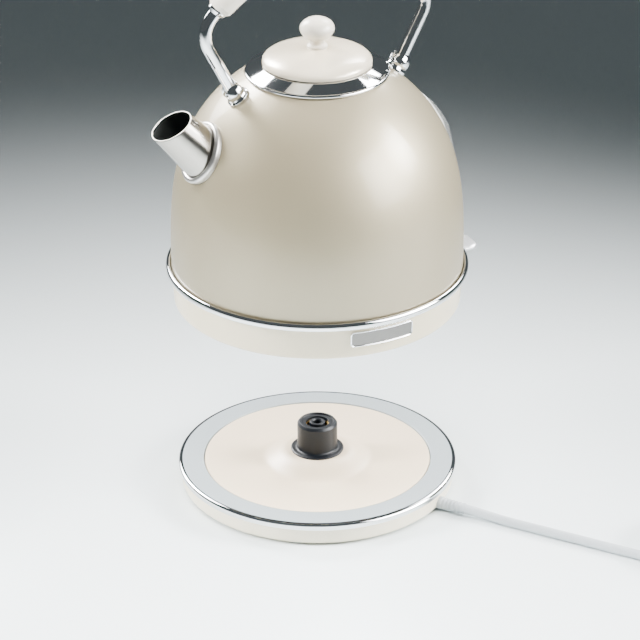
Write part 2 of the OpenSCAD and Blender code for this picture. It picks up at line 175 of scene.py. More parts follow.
back = Vector((sind(VIEW_AZIMUTH) * cosd(VIEW_ELEVATION),
               -cosd(VIEW_AZIMUTH) * cosd(VIEW_ELEVATION), sind(VIEW_ELEVATION)))
camera = bpy.data.objects.new("camera", bpy.data.cameras.new("camera"))
camera.data.lens = VIEW_LENS
camera.data.sensor_width = 36.0
camera.data.clip_end = 20.0
camera.location = (VIEW_TARGET + back * VIEW_DISTANCE) * MM
camera.rotation_euler = back.to_track_quat("Z", "Y").to_euler()
bpy.context.scene.collection.objects.link(camera)
bpy.context.scene.camera = camera


# Materials --------------------------------------------------------------------------
def rgb(red, green, blue):
    """A display colour, 0 to 255, as linear RGBA."""
    values = []
    for channel in (red, green, blue):
        c = channel / 255
        values.append(c / 12.92 if c <= 0.04045 else ((c + 0.055) / 1.055) ** 2.4)
    return (*values, 1.0)


def finish(name, colour, shade, rough, grain=900.0, relief=0.02, metallic=0.0,
           patches=25.0, stretch=(1, 1, 1), rings=False, **sockets):
    """A procedural finish. Fine grain and broad patches drift the colour towards shade and
    the roughness between its two values, and the grain gives relief, in millimetres.
    stretch draws the grain out into brushing along the short-scaled axis; rings brushes it
    round the object's axis."""
    made = bpy.data.materials.new(name)
    made.use_nodes = True
    tree = made.node_tree
    shader = tree.nodes["Principled BSDF"]
    shader.inputs["Metallic"].default_value = metallic
    for key, value in sockets.items():
        shader.inputs[key.replace("_", " ")].default_value = value

    def node(kind, **values):
        new = tree.nodes.new(kind)
        for key, value in values.items():
            new.inputs[key].default_value = value
        return new

    def join(source, target):
        tree.links.new(source, target)

    coords = node("ShaderNodeTexCoord").outputs["Object"]
    spread = node("ShaderNodeMapping", Scale=stretch)
    join(coords, spread.inputs["Vector"])
    where = spread.outputs["Vector"]
    if rings:
        flat = tree.nodes.new("ShaderNodeVectorMath")
        flat.operation = "MULTIPLY"
        flat.inputs[1].default_value = (1, 1, 0)
        reach = tree.nodes.new("ShaderNodeVectorMath")
        reach.operation = "LENGTH"
        radial = tree.nodes.new("ShaderNodeCombineXYZ")
        join(coords, flat.inputs[0])
        join(flat.outputs["Vector"], reach.inputs[0])
        join(reach.outputs["Value"], radial.inputs["X"])
        where = radial.outputs["Vector"]
    fine = node("ShaderNodeTexNoise", Scale=grain, Detail=3.0, Roughness=0.6)
    broad = node("ShaderNodeTexNoise", Scale=patches, Detail=2.0, Roughness=0.5)
    join(where, fine.inputs["Vector"])
    join(coords, broad.inputs["Vector"])
    both = tree.nodes.new("ShaderNodeMath")
    both.operation = "MULTIPLY_ADD"
    both.inputs[1].default_value = 0.5
    half = tree.nodes.new("ShaderNodeMath")
    half.operation = "MULTIPLY"
    half.inputs[1].default_value = 0.5
    join(broad.outputs["Fac"], half.inputs[0])
    join(fine.outputs["Fac"], both.inputs[0])
    join(half.outputs["Value"], both.inputs[2])
    tint = tree.nodes.new("ShaderNodeMix")
    tint.data_type = "RGBA"
    tint.inputs["A"].default_value = colour
    tint.inputs["B"].default_value = shade
    join(both.outputs["Value"], tint.inputs["Factor"])
    join(tint.outputs["Result"], shader.inputs["Base Color"])
    gloss = node("ShaderNodeMapRange", **{"From Min": 0.3, "From Max": 0.7,
                                          "To Min": rough[0], "To Max": rough[1]})
    join(both.outputs["Value"], gloss.inputs["Value"])
    join(gloss.outputs["Result"], shader.inputs["Roughness"])
    bump = node("ShaderNodeBump", Strength=0.6, Distance=relief * MM)
    join(fine.outputs["Fac"], bump.inputs["Height"])
    join(bump.outputs["Normal"], shader.inputs["Normal"])
    return made


PEARL = finish("pearl_paint", rgb(156, 146, 121), rgb(146, 135, 109), (0.42, 0.48),
               grain=1600, relief=0.004, metallic=0.4, Coat_Weight=0.45, Coat_Roughness=0.08)
LID_PAINT = finish("lid_paint", rgb(238, 226, 202), rgb(230, 216, 190), (0.26, 0.32),
                   grain=1600, relief=0.004, metallic=0.1, Coat_Weight=0.5, Coat_Roughness=0.1)
# The skirt's cream plastic: a darker copy of the base's cream plastic, painted shade for the
# skirt's dimmer front.
SKIRT_CREAM_PAINTED_SHADE = finish("skirt_cream_painted_shade", rgb(226, 213, 183), rgb(219, 205, 173), (0.2, 0.27),
                     grain=1400, relief=0.006, Coat_Weight=0.3, Coat_Roughness=0.1)
CREAM = finish("cream_plastic", rgb(246, 236, 212), rgb(240, 229, 203), (0.24, 0.32),
               grain=1400, relief=0.01, Coat_Weight=0.2, Coat_Roughness=0.15)
DISC = finish("disc_plastic", rgb(249, 228, 197), rgb(244, 221, 188), (0.38, 0.46),
              grain=1200, relief=0.006, Coat_Weight=0.12, Coat_Roughness=0.3)
GRIP = finish("grip_cream", rgb(237, 230, 215), rgb(229, 221, 205), (0.3, 0.38),
              grain=1100, relief=0.012, Coat_Weight=0.2)
CHROME = finish("chrome", rgb(236, 237, 238), rgb(226, 227, 229), (0.03, 0.07),
                grain=300, relief=0.0005, metallic=1.0, patches=40)
SATIN = finish("ring_metal", rgb(176, 185, 188), rgb(166, 176, 180), (0.42, 0.5),
               grain=4200, relief=0.004, metallic=0.35, rings=True)
BRUSHED = finish("brushed_spout", rgb(168, 164, 157), rgb(144, 140, 133), (0.1, 0.18),
                 grain=1500, relief=0.004, metallic=1.0, stretch=(0.15, 1, 0.15))
FLANGE_METAL = finish("flange_metal", rgb(206, 203, 198), rgb(192, 189, 184), (0.3, 0.38),
                      grain=1500, relief=0.004, metallic=0.9)
LEVER_METAL = finish("lever_metal", rgb(230, 231, 233), rgb(218, 220, 222), (0.2, 0.28),
                     grain=300, relief=0.0005, metallic=0.6, patches=40)
# Inside of the spout: a much darker copy of the spout's steel, painted shade that stands for the
# dimness inside the tube.
SPOUT_INSIDE_PAINTED_SHADE = finish("spout_inside_painted_shade", rgb(96, 100, 98), rgb(70, 74, 72), (0.3, 0.42),
                      grain=1500, relief=0.006, metallic=0.8)
PLATE = finish("plate_steel", rgb(196, 198, 200), rgb(178, 180, 182), (0.24, 0.36),
               grain=2200, relief=0.006, metallic=1.0, rings=True)
SCREW = finish("screw_steel", rgb(176, 178, 180), rgb(150, 152, 154), (0.22, 0.34),
               grain=2600, relief=0.004, metallic=1.0)
PIN = finish("pin_metal", rgb(206, 204, 198), rgb(188, 186, 180), (0.16, 0.26),
             grain=2400, relief=0.003, metallic=1.0)
BRASS = finish("brass", rgb(206, 170, 96), rgb(176, 140, 72), (0.2, 0.34),
               grain=2000, relief=0.004, metallic=1.0)
BLACK = finish("black_plastic", rgb(14, 19, 24), rgb(9, 12, 17), (0.42, 0.52),
               grain=1500, relief=0.02, Specular_IOR_Level=0.25)
LEAD = finish("lead_white", rgb(186, 191, 194), rgb(172, 178, 182), (0.38, 0.48),
              grain=1600, relief=0.02)
PLUG = finish("plug_white", rgb(206, 210, 211), rgb(194, 198, 200), (0.34, 0.44),
              grain=1500, relief=0.02)
TIE = finish("tie_black", rgb(38, 39, 41), rgb(28, 29, 31), (0.45, 0.58), grain=1500, relief=0.03)
RUBBER = finish("rubber", rgb(66, 67, 69), rgb(54, 55, 57), (0.6, 0.75), grain=1200, relief=0.03)
FRAME_GREY = finish("window_frame", rgb(196, 198, 194), rgb(184, 186, 182), (0.3, 0.4),
                    grain=1300, relief=0.01)
CLEAR = finish("window_clear", rgb(246, 249, 248), rgb(240, 244, 243), (0.03, 0.07),
               grain=200, relief=0.001, Transmission_Weight=0.92, IOR=1.49)


# Mesh building ----------------------------------------------------------------------
def place(name, mesh, at, body, slot, looks, nodes, shading=35):
    """Makes a piece of a bmesh in millimetres: places it by the matrix at, and has it ride
    on body, stand for nodes and take the looks in its material indices' order. Edges that
    turn by more than shading degrees stay sharp."""
    bmesh.ops.remove_doubles(mesh, verts=mesh.verts, dist=0.001)
    bmesh.ops.recalc_face_normals(mesh, faces=mesh.faces)
    for face in mesh.faces:
        face.smooth = True
    for edge in mesh.edges:
        if len(edge.link_faces) == 2 and edge.calc_face_angle() > math.radians(shading):
            edge.smooth = False
    mesh.transform(Matrix.Scale(MM, 4) @ at)
    data = bpy.data.meshes.new(name)
    mesh.to_mesh(data)
    mesh.free()
    made = bpy.data.objects.new(name, data)
    bpy.context.scene.collection.objects.link(made)
    for look in looks:
        data.materials.append(look)
    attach(made, body)
    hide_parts(*nodes)
    return made


def weighted(made):
    """Shades flat faces flat, with all the turning in the small rounded edges."""
    normals = made.modifiers.new("weighted normals", "WEIGHTED_NORMAL")
    normals.keep_sharp = True
    return made


def rounded(outline, steps=4, closed=True):
    """An outline of (r, z) or (r, z, radius) points, with corners of the radii given."""
    points = []
    last = len(outline) - 1
    for i, corner in enumerate(outline):
        tip = Vector(corner[:2])
        if len(corner) < 3 or (not closed and i in (0, last)):
            points.append(tip)
            continue
        before = Vector(outline[i - 1][:2]) - tip
        after = Vector(outline[(i + 1) % len(outline)][:2]) - tip
        reach = corner[2] / math.tan(before.angle(after) / 2)
        reach = min(reach, 0.49 * before.length, 0.49 * after.length)
        start = tip + before.normalized() * reach
        end = tip + after.normalized() * reach
        for k in range(steps + 1):
            t = k / steps
            points.append((1 - t) ** 2 * start + 2 * t * (1 - t) * tip + t * t * end)
    return points


def arc(centre, radius, start, end, steps):
    """Points on an arc from start to end degrees."""
    turn = (end - start) / steps
    return [(centre[0] + radius * cosd(start + turn * k),
             centre[1] + radius * sind(start + turn * k)) for k in range(steps + 1)]


def add_rings(mesh, rings, closed_path=False, cap=False):
    """Joins rings of points, each as long as the next, with quads. Returns the faces."""
    made = [[mesh.verts.new(p) for p in ring] for ring in rings]
    count = len(made[0])
    pairs = list(zip(made, made[1:]))
    if closed_path:
        pairs.append((made[-1], made[0]))
    faces = []
    for low, high in pairs:
        for k in range(count):
            n = (k + 1) % count
            faces.append(mesh.faces.new((low[k], low[n], high[n], high[k])))
    if cap:
        mesh.faces.new(list(reversed(made[0])))
        mesh.faces.new(made[-1])
    return faces


def add_lathe(mesh, outline, closed=True, turns=192, at=WORLD, look=None):
    """Adds outline, of (r, z) points, turned round the Z axis of at. look gives a face's
    material index from its middle's radius and height."""
    rings = [[at @ Vector((r * math.cos(2 * math.pi * k / turns),
                           r * math.sin(2 * math.pi * k / turns), z)) for k in range(turns)]
             for r, z in outline]
    faces = add_rings(mesh, rings, closed_path=closed)
    if look:
        loop = list(outline) + [outline[0]] if closed else list(outline)
        for i, (a, b) in enumerate(zip(loop, loop[1:])):
            index = look((a[0] + b[0]) / 2, (a[1] + b[1]) / 2)
            for face in faces[i * turns:(i + 1) * turns]:
                face.material_index = index
    return faces


def drop_slivers(mesh):
    """Takes out the faces that a ring of radius nought leaves without area."""
    bmesh.ops.remove_doubles(mesh, verts=mesh.verts, dist=0.001)
    bmesh.ops.dissolve_degenerate(mesh, edges=mesh.edges, dist=0.0005)


def lathe(name, outline, at, body, slot, looks, nodes, closed=True, turns=192, look=None):
    """Makes a turned piece of one outline."""
    mesh = bmesh.new()
    add_lathe(mesh, outline, closed, turns, look=look)
    drop_slivers(mesh)
    return weighted(place(name, mesh, at, body, slot, looks, nodes))


def add_sweep(mesh, path, section):
    """Adds a capped tube along path. section gives the ring of (sideways, outward) offsets at
    each point; sideways runs as near to +Y as the path's direction lets it."""
    across = Vector((0, 1, 0))
    rings = []
    for i, point in enumerate(path):
        along = (path[min(i + 1, len(path) - 1)] - path[max(i - 1, 0)]).normalized()
        side = (across - along * across.dot(along)).normalized()
        out = along.cross(side)
        rings.append([point + side * u + out * v for u, v in section(i)])
    add_rings(mesh, rings, cap=True)


def oval(wide, deep, power=2.0, sides=32):
    """A ring of offsets: an ellipse at power 2, squarer above it."""
    ring = []
    for k in range(sides):
        c, s = math.cos(2 * math.pi * k / sides), math.sin(2 * math.pi * k / sides)
        ring.append((wide * math.copysign(abs(c) ** (2 / power), c),
                     deep * math.copysign(abs(s) ** (2 / power), s)))
    return ring


def rib(r, z, depth, narrows):
    """Outline points of a groove at z in a body of radius r that narrows past it."""
    return [(r, z - 0.9, 0.3), (r - depth, z - 0.3, 0.2), (r - depth, z + 0.3, 0.2),
            (r - narrows, z + 0.9, 0.3)]


def ease(t):
    """A smooth step from 0 to 1."""
    t = min(max(t, 0.0), 1.0)
    return t * t * (3 - 2 * t)


def dress(names, look):
    """Gives CAD nodes that stay as they are their finish."""
    for name in names:
        data = NODES[name].data
        data.materials.clear()
        data.materials.append(look)


# Lead -------------------------------------------------------------------------------
LEAD_ROUTE = [(90, 0, 4.6), (100, 0, 4.6), (108, 0, 4.6), (118, 0, 4.2), (130, 0, 3.5),
              (142, 0, 3.1), (156, 0, 3.1), (170, 0, 3.1), (184, 0, 3.1), (198, 0, 3.1),
              (212, 0, 3.1), (226, 0, 3.1), (240, 0, 3.2), (254, 0, 3.6)]
TAIL_ROUTE = [(236, 53, 10.1), (228, 35, 10.1), (232, 14, 10.1),
              (246, 0, 10.1), (257, -5, 10), (268, -7, 9), (282, -6.5, 6.5), (296, -3, 4.3),
              (308, 3, 3.3), (318, 12, 3.1), (325, 24, 3.1), (329, 38, 3.2), (331, 52, 4.2),
              (331, 66, 6.2), (330, 80, 8.2), (329, 90, 9)]
COIL_TURN = 570
COIL_STEP = 22.5
COIL_LOW_Z = 3.9
COIL_HIGH_Z = 10.1


def coil_points():
    """The coil's turns, which climb from the floor onto the first turn."""
    points = []
    for i in range(int(COIL_TURN / COIL_STEP) + 1):
        turn = i * COIL_STEP
        rise = ease((turn - 240) / 90)
        points.append((COIL_AT.x + COIL_R * cosd(turn - 90), COIL_AT.y + COIL_R * sind(turn - 90),
                       COIL_LOW_Z + (COIL_HIGH_Z - COIL_LOW_Z) * rise))
    return points


route = [ON_LEAD @ Vector(p) * MM for p in LEAD_ROUTE + coil_points() + TAIL_ROUTE]
lead_curve = bpy.data.curves.new("mains_lead", "CURVE")
lead_curve.dimensions = "3D"
lead_curve.bevel_depth = LEAD_D / 2 * MM
lead_curve.bevel_resolution = 8
lead_curve.resolution_u = 6
lead_curve.use_fill_caps = True
spline = lead_curve.splines.new("BEZIER")
spline.bezier_points.add(len(route) - 1)
for knot, spot in zip(spline.bezier_points, route):
    knot.co = spot
    knot.handle_left_type = knot.handle_right_type = "AUTO"
lead_curve.materials.append(LEAD)
lead = bpy.data.objects.new("mains_lead", lead_curve)
bpy.context.scene.collection.objects.link(lead)
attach(lead, "base")
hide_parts("power_cord", "cord_coil", "cord_tail")

# Strain relief: a taper with ribs cut in it, on the lead's own line
RIBS = 6
RIBS_FROM = 93.0
relief_at = ON_LEAD @ Matrix.Translation((0, 0, CORD_OUT_Z)) @ Matrix.Rotation(
    math.radians(90), 4, "Y")
relief_line = [(LEAD_D / 2, RELIEF[0]), (RELIEF_R, RELIEF[0]), (RELIEF_R, RIBS_FROM - 2)]
rib_step = (RELIEF[1] - RIBS_FROM) / RIBS
for i in range(RIBS):
    relief_line += rib(RELIEF_R - 0.1 * i, RIBS_FROM + i * rib_step, 0.45, 0.1)
relief_line += [(3.55, RELIEF[1], 0.4), (LEAD_D / 2, RELIEF[1])]
relief = lathe("strain_relief_ribbed", rounded(relief_line), relief_at, "base", "lead_white",
               [LEAD], ["strain_relief"], turns=48)

# Coil's tie: a flat strap round both turns, with its tail end lapped over
tie_mesh = bmesh.new()
tie_w, tie_h, tie_t = LEAD_D / 2 + 0.2, LEAD_D + 0.05, 0.8
for inner, outer, width in ((0.0, tie_t, 2.0), (tie_t * 0.6, tie_t + 0.25, 1.4)):
    loops = []
    for grow, half in ((inner, width), (outer, width), (outer, -width), (inner, -width)):
        loops.append([Vector((u, half, v)) for u, v in
                      oval(tie_w + grow, tie_h + grow, power=4.5, sides=48)])
    add_rings(tie_mesh, loops, closed_path=True)
tie_at = ON_LEAD @ Matrix.Translation((COIL_AT.x + COIL_R, COIL_AT.y, LEAD_D + tie_t + 0.3))
tie = weighted(place("coil_tie", tie_mesh, tie_at, "base", "tie_black", [TIE], ["cord_tie"]))

# Plug: a rounded block under a round face that carries the pins, with thumb grooves
plug_at = ON_LEAD @ Matrix.Translation((*PLUG_AT, 0))
plug_mesh = bmesh.new()
BLOCK = [(0.0, 0.93), (0.5, 0.97), (1.6, 1.0), (14.0, 1.0), (15.4, 0.985), (16.6, 0.93)]
add_rings(plug_mesh, [[Vector((u, v, z)) for u, v in oval(17 * grow, 19 * grow, 3.2, 64)]
                      for z, grow in BLOCK], cap=True)
grooves = [(17.2, 14.0), (17.4, 18.0, 0.6)]
for i in range(3):
    z = 20.2 + 2.4 * i
    grooves += [(18.3, z - 0.8, 0.3), (17.7, z, 0.3), (18.3, z + 0.8, 0.3)]
grooves += [(18.4, 29.0, 0.9), (12.0, 29.0, 0.3), (11.4, 28.4, 0.3), (0.0, 28.4)]
add_lathe(plug_mesh, rounded(grooves, closed=False), closed=False, turns=96)
boss_at = Matrix.Translation((0, -16, 9)) @ Matrix.Rotation(math.radians(90), 4, "X")
boss = [(0.0, 0.0), (6.5, 0.0)]
for i in range(4):
    boss += rib(6.4 - 0.42 * i, 3.6 + 3.4 * i, 0.6, 0.2)
boss += [(4.5, 18.0, 0.6), (LEAD_D / 2, 18.0)]
add_lathe(plug_mesh, rounded(boss, closed=False), closed=False, turns=64, at=boss_at)
drop_slivers(plug_mesh)
plug = weighted(place("plug_moulding", plug_mesh, plug_at, "base", "plug_white", [PLUG],
                      ["plug_body"]))

pins_mesh = bmesh.new()
for x in (-9.5, 9.5):
    add_lathe(pins_mesh, rounded([(0, 28.6), (2.4, 28.6), (2.4, 38.6), (2.3, 38.8),
                                  (2.3, 46.2, 0.8), (1.5, 47.9, 0.5), (0, 47.9)], closed=False),
              closed=False, turns=40, at=Matrix.Translation((x, 0, 0)),
              look=lambda r, z: 0 if z > 38.7 else 1)
drop_slivers(pins_mesh)
pins = weighted(place("plug_pin_pair", pins_mesh, plug_at, "base", "pin_metal", [PIN, PLUG],
                      ["plug_pins"]))


# Power base -------------------------------------------------------------------------
SKIN = 2.5
housing = rounded([(86, FOOT_H + 0.5), (87, FOOT_H, 0.4), (88.4, FOOT_H, 0.8),
                   (89.6, FOOT_H + 1.8, 0.8), (90.4, DECK_Z - 0.2, 0.3),
                   (90.0, DECK_Z + 0.2, 0.2), (76, DECK_Z + 0.2), (POST_FLANGE_R, DECK_Z),
                   (POST_FLANGE_R, DECK_Z - SKIN), (87.4, DECK_Z - SKIN),
                   (86.6, FOOT_H + 2.2), (86, FOOT_H + 2.2)])
lathe("base_skirt", housing, WORLD, "base", "cream_plastic", [CREAM], ["base_housing"],
      turns=256)

# Trim: a satin flat with a fine step at its inner edge, rolled over a polished outer edge
roll = arc((BASE_R - ROLL_R, BASE_H - ROLL_R), ROLL_R, 96, -35, 16)
trim = ([(DISC_R + 0.2, DECK_Z + 0.3), (DISC_R + 0.2, BASE_H - 0.35),
         (DISC_R + 0.5, BASE_H - 0.06), (DISC_R + 0.9, BASE_H - 0.02), (88.6, BASE_H - 0.12),
         (89.2, BASE_H - 0.1)] + roll
        + [(BASE_R - 0.45, BASE_H - 3.6), (BASE_R - 0.5, BASE_H - 4.5),
           (BASE_R - 1.3, BASE_H - 4.6), (BASE_R - 1.5, DECK_Z + 0.3)])
lathe("base_trim", rounded(trim), WORLD, "base", "ring_metal", [SATIN, CHROME],
      ["base_ring"], turns=256, look=lambda r, z: 0 if r < 89.0 else 1)

# Disc: dips slightly, then swells into the raised hub
HUB_STEPS = 16
disc = [(DISC_R - 0.4, DECK_Z + 0.1), (DISC_R - 0.4, BASE_H - 1.0),
        (DISC_R - 0.6, BASE_H - 0.5), (DISC_R - 1.2, BASE_H - 0.3), (66, BASE_H - 0.6),
        (50, BASE_H - 0.95), (42, BASE_H - 1.0)]
for i in range(HUB_STEPS + 1):
    t = i / HUB_STEPS
    disc.append((HUB_R + 1 - (HUB_R - POST_FLANGE_R - 1) * t,
                 BASE_H - 1 + (HUB_Z - BASE_H + 1) * (1 - math.cos(math.pi * t)) / 2))
disc += [(POST_R + 0.1, HUB_Z), (POST_R + 0.1, HUB_Z - 2.4), (HUB_R, BASE_H - 3.2),
         (DISC_R - 4, BASE_H - 3), (DISC_R - 3, DECK_Z + 0.1)]
lathe("base_dish", disc, WORLD, "base", "disc_plastic", [DISC], ["base_disc"], turns=256)

# Post: thin flange with a hollow fillet, straight body, and a shallow recess in the top
# with a ring groove round a centre boss
fillet = arc((POST_R + 1.7, HUB_Z + 3.0), 1.7, 180, 264, 8)
post = rounded([(0, DECK_Z - 6), (20, DECK_Z - 6), (20, DECK_Z - 2.5), (16.8, DECK_Z - 2.5),
                (16.8, DECK_Z), (POST_R, DECK_Z), (POST_R, HUB_Z + 0.02),
                (POST_FLANGE_R, HUB_Z + 0.02, 0.15), (POST_FLANGE_R, HUB_Z + 0.8, 0.3),
                (POST_FLANGE_R - 0.7, HUB_Z + 1.2, 0.3)] + fillet[::-1]
               + [(POST_R, POST_TOP - 1.7, 0.5), (POST_R - 1.2, POST_TOP - 0.1, 0.4),
                  (POST_R - 2.5, POST_TOP, 0.25), (POST_R - 2.9, POST_TOP - 0.9, 0.2),
                  (7.7, POST_TOP - 0.9, 0.2), (7.5, POST_TOP - 10), (5.3, POST_TOP - 10),
                  (5.1, POST_TOP - 0.5, 0.4), (3.5, POST_TOP - 0.3, 0.3),
                  (2.9, POST_TOP - 1.2, 0.2), (2.8, POST_TOP - 15), (0, POST_TOP - 15)])
lathe("connector_column", post, WORLD, "base", "black_plastic", [BLACK], ["connector_post"],
      turns=128)


# Kettle body ------------------------------------------------------------------------
def dome_at(turn):
    """A point of the dome's outline at turn degrees from its lower edge."""
    return (DOME_R * cosd(turn) ** (4 / 3), DOME_Z + DOME_H * sind(turn) ** DOME_POWER)


def dome_radius(z, out=0.0):
    """The dome's radius at height z, grown outwards by out."""
    rise = ((z - DOME_Z) / DOME_H) ** (1 / DOME_POWER)
    return DOME_R * (1 - rise * rise) ** (2 / 3) + out


def rounded_box(u, v, half_u, half_v, corner):
    """How far (u, v) is outside a rounded rectangle, below nought inside it."""
    du, dv = abs(u) - half_u + corner, abs(v) - half_v + corner
    return math.hypot(max(du, 0), max(dv, 0)) + min(max(du, dv), 0) - corner


def open_surface(mesh, faces, outside, radius_at):
    """Takes out the faces inside an opening on the +X side. outside(y, z) is the distance
    outside it. The edge's points are drawn onto the opening's outline, on the surface whose
    radius at height z is radius_at(z)."""
    gone = [f for f in faces if f.calc_center_median().x > 0
            and outside(f.calc_center_median().y, f.calc_center_median().z) < 0]
    edge = {v for f in gone for v in f.verts}
    bmesh.ops.delete(mesh, geom=gone, context="FACES")
    step = 0.01
    for v in edge:
        if not v.is_valid or not v.link_faces:
            continue
        for _ in range(3):
            y, z = v.co.y, v.co.z
            away = outside(y, z)
            slope = Vector((outside(y + step, z) - outside(y - step, z),
                            outside(y, z + step) - outside(y, z - step)))
            if slope.length < 1e-9:
                break
            slope.normalize()
            y, z = y - slope.x * away, z - slope.y * away
            v.co = Vector((math.sqrt(radius_at(z) ** 2 - y * y), y, z))


def window_outline(grow, count=96):
    """(y, z) points round the window's opening, grown outwards by grow."""
    half_y, half_z, corner = (value + grow for value in WINDOW)
    points = []
    for cy, cz, start in ((1, 1, 0), (-1, 1, 90), (-1, -1, 180), (1, -1, 270)):
        points += [(cy * (half_y - corner) + y, WINDOW_Z + cz * (half_z - corner) + z)
                   for y, z in arc((0, 0), corner, start, start + 90, count // 4 - 1)]
    return points


def on_dome(y, z, out):
    """The point at y and z on the dome's +X side, grown outwards by out."""
    return Vector((math.sqrt(dome_radius(z, out) ** 2 - y * y), y, z))


shell_mesh = bmesh.new()
DOME_STEPS = 96
outer_line = [dome_at(FILL_TURN * (i / DOME_STEPS) ** 1.4) for i in range(DOME_STEPS + 1)]
shell_faces = add_lathe(shell_mesh, outer_line, closed=False, turns=288)
to_root = AT_ROOT.inverted() @ ON_KETTLE
spout_hole = [f for f in shell_faces
              if (to_root @ f.calc_center_median()).xy.length < ROOT_R + 1.6
              and f.calc_center_median().x < 0]
bmesh.ops.delete(shell_mesh, geom=spout_hole, context="FACES")
open_surface(shell_mesh, shell_mesh.faces[:],
             lambda y, z: rounded_box(y, z - WINDOW_Z, *WINDOW), dome_radius)
shell = place("dome_shell", shell_mesh, ON_KETTLE, "kettle", "pearl_paint", [PEARL],
              ["kettle_shell"])
wall = shell.modifiers.new("wall", "SOLIDIFY")
wall.thickness = STEEL * MM
wall.offset = -1


# Skirt: a flared ring, rolled under at its foot, with a slot for the lever
def skirt_radius(z):
    return SKIRT_LOW_R + (SKIRT_TOP_R - SKIRT_LOW_R) * z / SKIRT_H


SKIRT_ROUND = 2.2
SKIRT_STEPS = 16
LEVER_SLOT = (13.0, 3.8, 1.4)
LEVER_SLOT_Z = 15.4
foot = arc((skirt_radius(SKIRT_ROUND) - SKIRT_ROUND, SKIRT_ROUND), SKIRT_ROUND, -85, 0, 8)
skirt_mesh = bmesh.new()
skirt_heights = [SKIRT_ROUND + (SKIRT_H - SKIRT_ROUND) * i / SKIRT_STEPS
                 for i in range(1, SKIRT_STEPS + 1)]
skirt_line = foot + [(skirt_radius(z), z) for z in skirt_heights]
skirt_faces = add_lathe(skirt_mesh, skirt_line, closed=False, turns=288)
open_surface(skirt_mesh, skirt_faces,
             lambda y, z: rounded_box(y, z - LEVER_SLOT_Z, *LEVER_SLOT), skirt_radius)
# The skirt takes the darker copy of the cream plastic: painted shade.
skirt = place("skirt_ring", skirt_mesh, ON_KETTLE, "kettle", "cream_plastic", [SKIRT_CREAM_PAINTED_SHADE],
              ["skirt"])
wall = skirt.modifiers.new("wall", "SOLIDIFY")
wall.thickness = SKIRT_WALL * MM
wall.offset = -1

# Band: an upright oval bead that laps over the skirt's top edge, with an inner land
BEAD = (1.7, 2.6)
BEAD_Z = DOME_Z - 0.6
bead = [(BAND_R + BEAD[0] * cosd(a), BEAD_Z + BEAD[1] * sind(a)) for a in range(-170, 165, 10)]
lathe("bead_band", bead + [(BAND_R - 1.7, SKIRT_H + 1.5), (89.2, SKIRT_H + 1.5),
                           (89.2, SKIRT_H + 0.02), (BAND_R - 1.65, SKIRT_H + 0.02)],
      ON_KETTLE, "kettle", "chrome", [CHROME], ["chrome_band"], turns=288)

# Collar: a shallow polished cone inside a beaded edge
collar = (arc((44.3, 155.75), 1.2, -120, 110, 14)
          + rounded([(43.4, 157.1, 0.3), (35.6, 160.9, 0.5), (34.0, 161.0, 0.3),
                     (THROAT_R, 160.2, 0.3), (THROAT_R, 148.0), (THROAT_R + 0.8, 148.0),
                     (THROAT_R + 0.8, 159.6), (41.2, 156.4), (41.2, 150.0), (42.0, 150.0),
                     (42.0, 154.9)], closed=False))
lathe("collar_cone", collar, ON_KETTLE, "kettle", "chrome", [CHROME], ["collar"], turns=256)

# Badge: a plain plate on the skirt, with a slim raised rim round a flat field
BADGE_TURN = -90.0
BADGE_HALF = 13.3
BADGE_Z = (8.0, 18.6)
BADGE_CORNER = 2.4
BADGE_RIM = 1.0
BADGE_FIELD_OUT = 0.7
FIELD_STEPS = 32
badge_half_u = math.radians(BADGE_HALF) * SKIRT_LOW_R
badge_half_v = (BADGE_Z[1] - BADGE_Z[0]) / 2
badge_steps = [(0.0, -0.2), (0.0, 1.0), (0.1, 1.25), (0.3, 1.4), (0.6, 1.4), (0.85, 1.2),
               (BADGE_RIM, BADGE_FIELD_OUT - 0.1), (BADGE_RIM, -0.2)]


def on_skirt(u, v, out):
    """A point u round the skirt and v up from the badge's middle, standing out from it."""
    z = (BADGE_Z[0] + BADGE_Z[1]) / 2 + v
    turn = math.radians(BADGE_TURN) + u / SKIRT_LOW_R
    r = skirt_radius(z) + out
    return Vector((r * math.cos(turn), r * math.sin(turn), z))


def badge_ring(inset, out):
    """The badge's outline drawn inwards by inset and standing out from the skirt."""
    corner = max(BADGE_CORNER - inset, 0.25)
    half_u, half_v = badge_half_u - inset, badge_half_v - inset
    ring = []
    for cu, cv, start in ((1, 1, 0), (-1, 1, 90), (-1, -1, 180), (1, -1, 270)):
        ring += arc((cu * (half_u - corner), cv * (half_v - corner)), corner, start,
                    start + 90, 7)
        if cu == cv:
            ring += [(cu * (half_u - corner) * (1 - k / 8), cv * half_v) for k in range(1, 16)]
    return [on_skirt(u, v, out) for u, v in ring]


badge_mesh = bmesh.new()
add_rings(badge_mesh, [badge_ring(*step) for step in badge_steps], closed_path=True)
field_u, field_v = badge_half_u - 0.6, badge_half_v - 0.6
field = [[badge_mesh.verts.new(on_skirt(field_u * (2 * k / FIELD_STEPS - 1), field_v * v,
                                        BADGE_FIELD_OUT)) for k in range(FIELD_STEPS + 1)]
         for v in (-1, 0, 1)]
for low, high in zip(field, field[1:]):
    for k in range(FIELD_STEPS):
        badge_mesh.faces.new((low[k], low[k + 1], high[k + 1], high[k])).material_index = 1
BADGE_FIELD = finish("badge_metal", rgb(118, 116, 113), rgb(98, 96, 94), (0.3, 0.4),
                     grain=2400, relief=0.01, metallic=0.7, stretch=(0.2, 0.2, 1))
weighted(place("badge_plate", badge_mesh, ON_KETTLE, "kettle", "badge_metal",
               [CHROME, BADGE_FIELD], ["badge"]))

